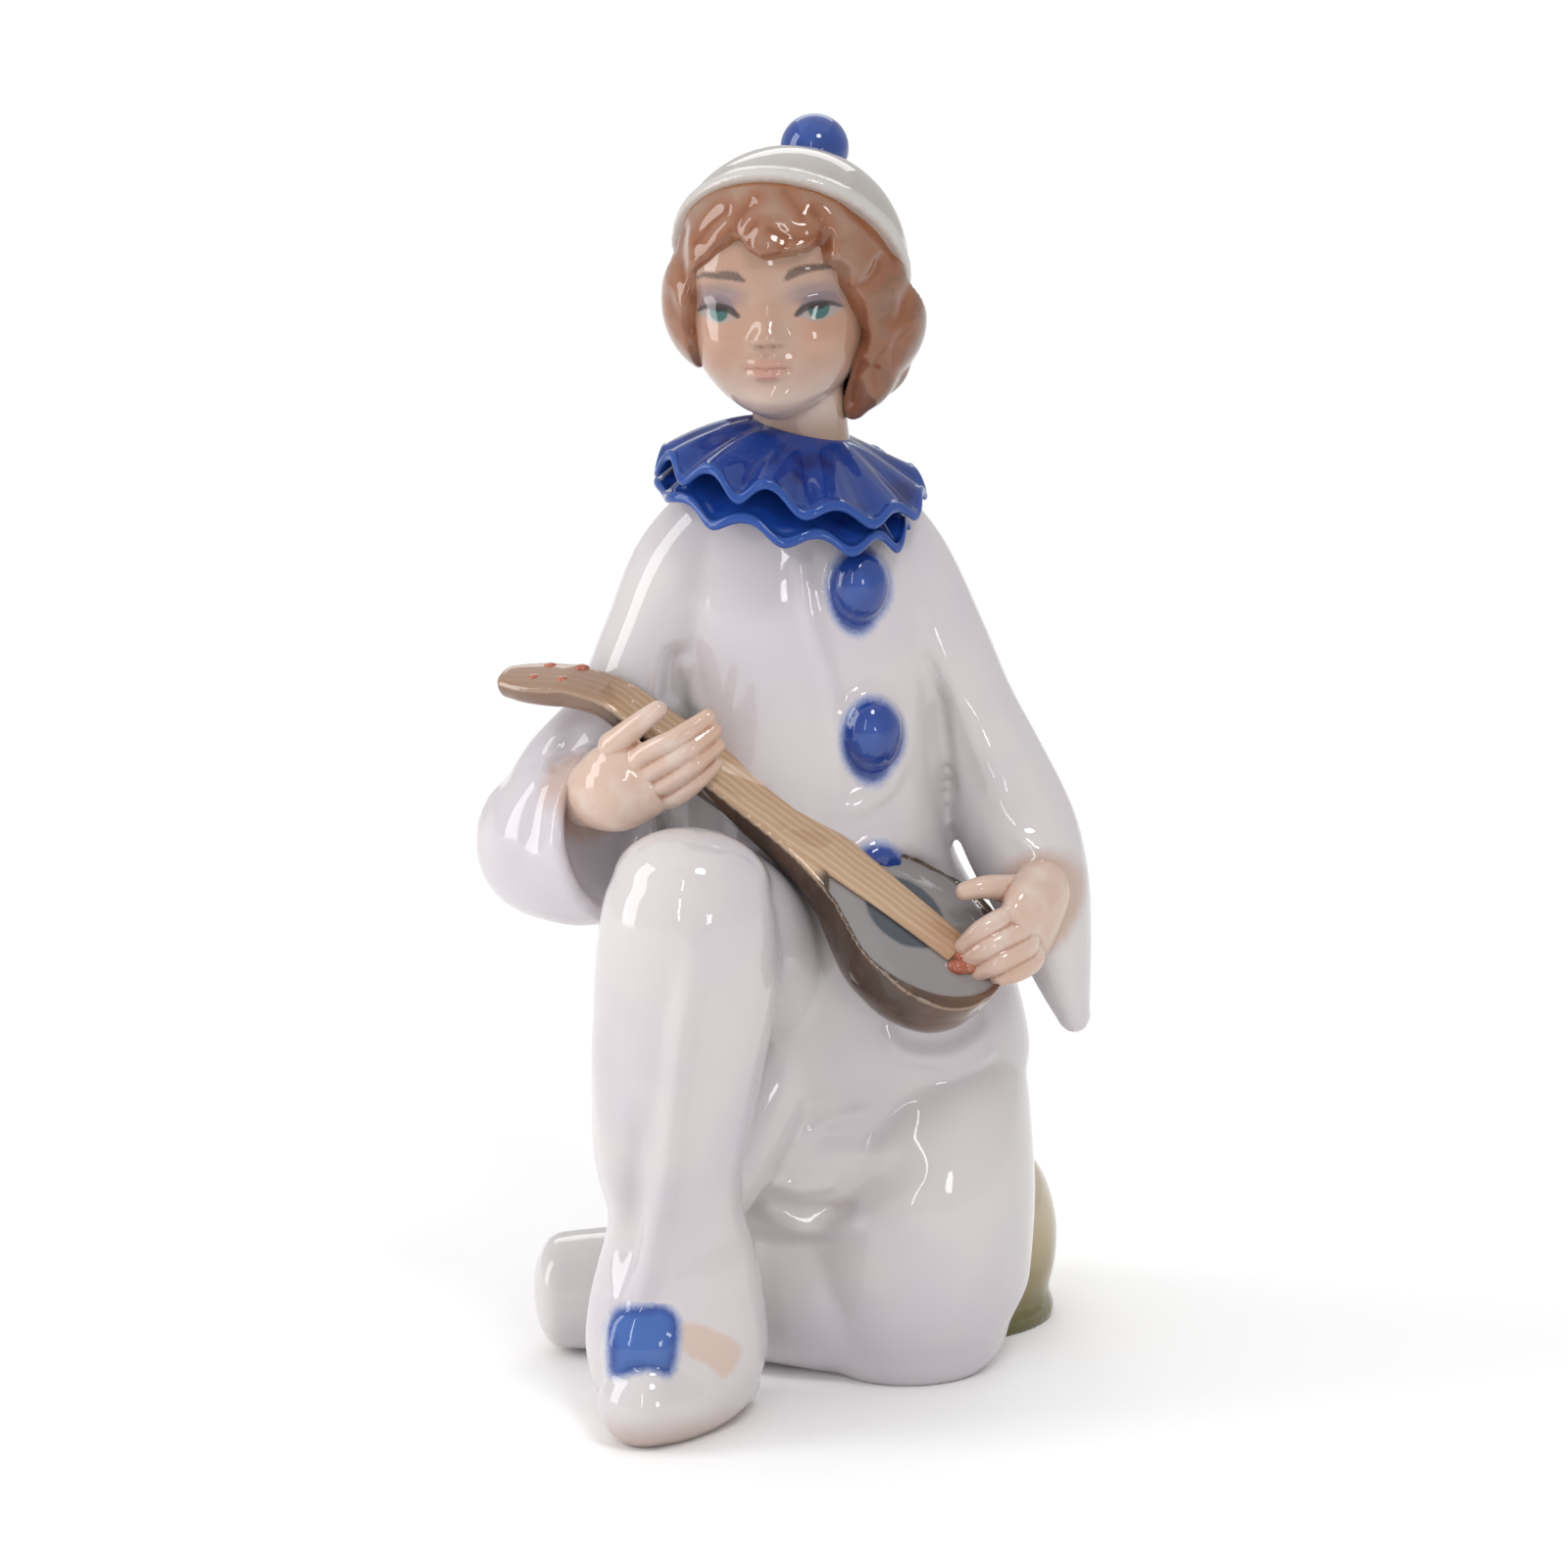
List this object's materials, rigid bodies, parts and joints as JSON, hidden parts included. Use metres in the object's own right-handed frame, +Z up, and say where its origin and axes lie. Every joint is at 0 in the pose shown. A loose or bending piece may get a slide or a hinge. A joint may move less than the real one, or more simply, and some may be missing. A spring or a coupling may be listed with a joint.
{
  "type": "clown figurine",
  "caption": "Glazed porcelain figurine of a seated clown in a pleated collar and round cap, one knee raised, playing a mandolin.",
  "frame": {"origin": "on the ground, under the middle of the figurine's bounding box", "axes": "+Z up the figurine, -Y towards its front, +X towards the viewer's right"},
  "size_m": [0.0992, 0.0972, 0.2049],
  "materials": {
    "white_glaze": "gloss",
    "cobalt_glaze": "gloss",
    "skin_glaze": "gloss",
    "hair_glaze": "gloss",
    "wood_glaze": "gloss"
  },
  "bodies": {
    "root": {"clown_figurine": "white_glaze"}
  },
  "joints": []
}
